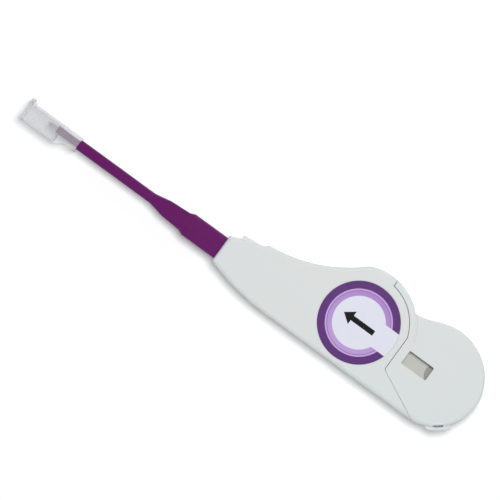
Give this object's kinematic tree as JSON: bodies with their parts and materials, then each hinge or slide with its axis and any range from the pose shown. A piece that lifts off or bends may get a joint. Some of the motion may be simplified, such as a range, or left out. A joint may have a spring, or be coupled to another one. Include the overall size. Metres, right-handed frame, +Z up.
{
  "type": "fibre connector cleaning pen",
  "caption": "Flat hand-held cleaner for fibre-optic connectors: paddle-shaped case with tape reels, long sliding nozzle, sprung tip and a dust cap with a hinged lid.",
  "frame": {"origin": "on the flat underside, below the axis of the take-up reel", "axes": "+X along the tool from the nozzle's tip to the rounded rear end, +Y across it towards the hub's bulge, +Z up out of the face with the label"},
  "size_m": [0.2408, 0.0472, 0.018],
  "materials": {
    "case_plastic": "fine spark-eroded texture, off-white",
    "nozzle_plastic": "moulded, satin, purple",
    "cap_plastic": "natural translucent moulding",
    "label_film": "printed film, plain rings",
    "inner_plastic": "moulded",
    "gear_plastic": "moulded acetal",
    "reel_plastic": "moulded",
    "cleaning_tape": "woven microfibre tape",
    "spring_steel": "drawn wire"
  },
  "bodies": {
    "case": {"case_base": "case_plastic", "front_cover": "case_plastic", "rear_cover": "case_plastic", "round_label": "label_film", "return_spring": "spring_steel", "feed_strand": "cleaning_tape", "return_strand": "cleaning_tape"},
    "nozzle": {"nozzle_lower_half": "nozzle_plastic", "nozzle_upper_half": "nozzle_plastic", "tape_divider": "inner_plastic", "nozzle_tape": "cleaning_tape", "slide_carrier": "inner_plastic", "tip_spring": "spring_steel"},
    "head": {"tip_head": "inner_plastic", "tip_tape": "cleaning_tape"},
    "cap": {"guide_cap": "cap_plastic", "cap_hinge_pin": "spring_steel"},
    "lid": {"cap_lid": "cap_plastic"},
    "gear": {"drive_gear": "gear_plastic"},
    "take_up": {"take_up_reel": "reel_plastic", "take_up_tape": "cleaning_tape"},
    "pawl": {"stop_pawl": "gear_plastic"},
    "supply": {"supply_reel": "reel_plastic", "supply_tape": "cleaning_tape"},
    "low_roller": {"low_guide_roller": "reel_plastic"},
    "near_roller": {"near_guide_roller": "reel_plastic"}
  },
  "joints": [
    {"name": "push_slide", "type": "slide", "parent": "case", "child": "nozzle", "axis": [1, 0, 0], "range_m": [0, 0.008], "stiffness_N_per_m": 400, "springref_m": -0.004, "deforming": ["return_spring", "feed_strand", "return_strand"]},
    {"name": "head_slide", "type": "slide", "parent": "nozzle", "child": "head", "axis": [1, 0, 0], "range_m": [0, 0.0015], "stiffness_N_per_m": 300, "springref_m": -0.001, "deforming": ["tip_spring"]},
    {"name": "cap_pull", "type": "slide", "parent": "nozzle", "child": "cap", "axis": [-1, 0, 0], "range_m": [0, 0.02]},
    {"name": "lid_hinge", "type": "hinge", "parent": "cap", "child": "lid", "pos_m": [-0.1756, -0.00505, 0.009], "axis": [0, 0, -1], "range_deg": [0, 110]},
    {"name": "gear_spin", "type": "hinge", "parent": "case", "child": "gear", "pos_m": [0, 0, 0.0138], "axis": [0, 0, 1], "range_deg": [0, 110]},
    {"name": "take_up_spin", "type": "hinge", "parent": "case", "child": "take_up", "pos_m": [0, 0, 0.009], "axis": [0, 0, 1], "range_deg": [0, 110]},
    {"name": "pawl_swing", "type": "hinge", "parent": "case", "child": "pawl", "pos_m": [0.0095, 0.0122, 0.0025], "axis": [0, 0, 1], "range_deg": [-6.7, 0]},
    {"name": "supply_spin", "type": "hinge", "parent": "case", "child": "supply", "pos_m": [0.0415, 0.0008, 0.009], "axis": [0, 0, 1], "continuous": true},
    {"name": "low_roller_spin", "type": "hinge", "parent": "case", "child": "low_roller", "pos_m": [-0.014, -0.0132, 0.009], "axis": [0, 0, 1], "continuous": true},
    {"name": "near_roller_spin", "type": "hinge", "parent": "case", "child": "near_roller", "pos_m": [-0.033, -0.01251, 0.009], "axis": [0, 0, 1], "continuous": true}
  ],
  "couplings": [
    {"joint": "gear_spin", "follows": "push_slide", "rad_per_m": 238.1},
    {"joint": "take_up_spin", "follows": "push_slide", "rad_per_m": 238.1},
    {"joint": "pawl_swing", "follows": "push_slide", "rad_per_m": -14.2}
  ]
}
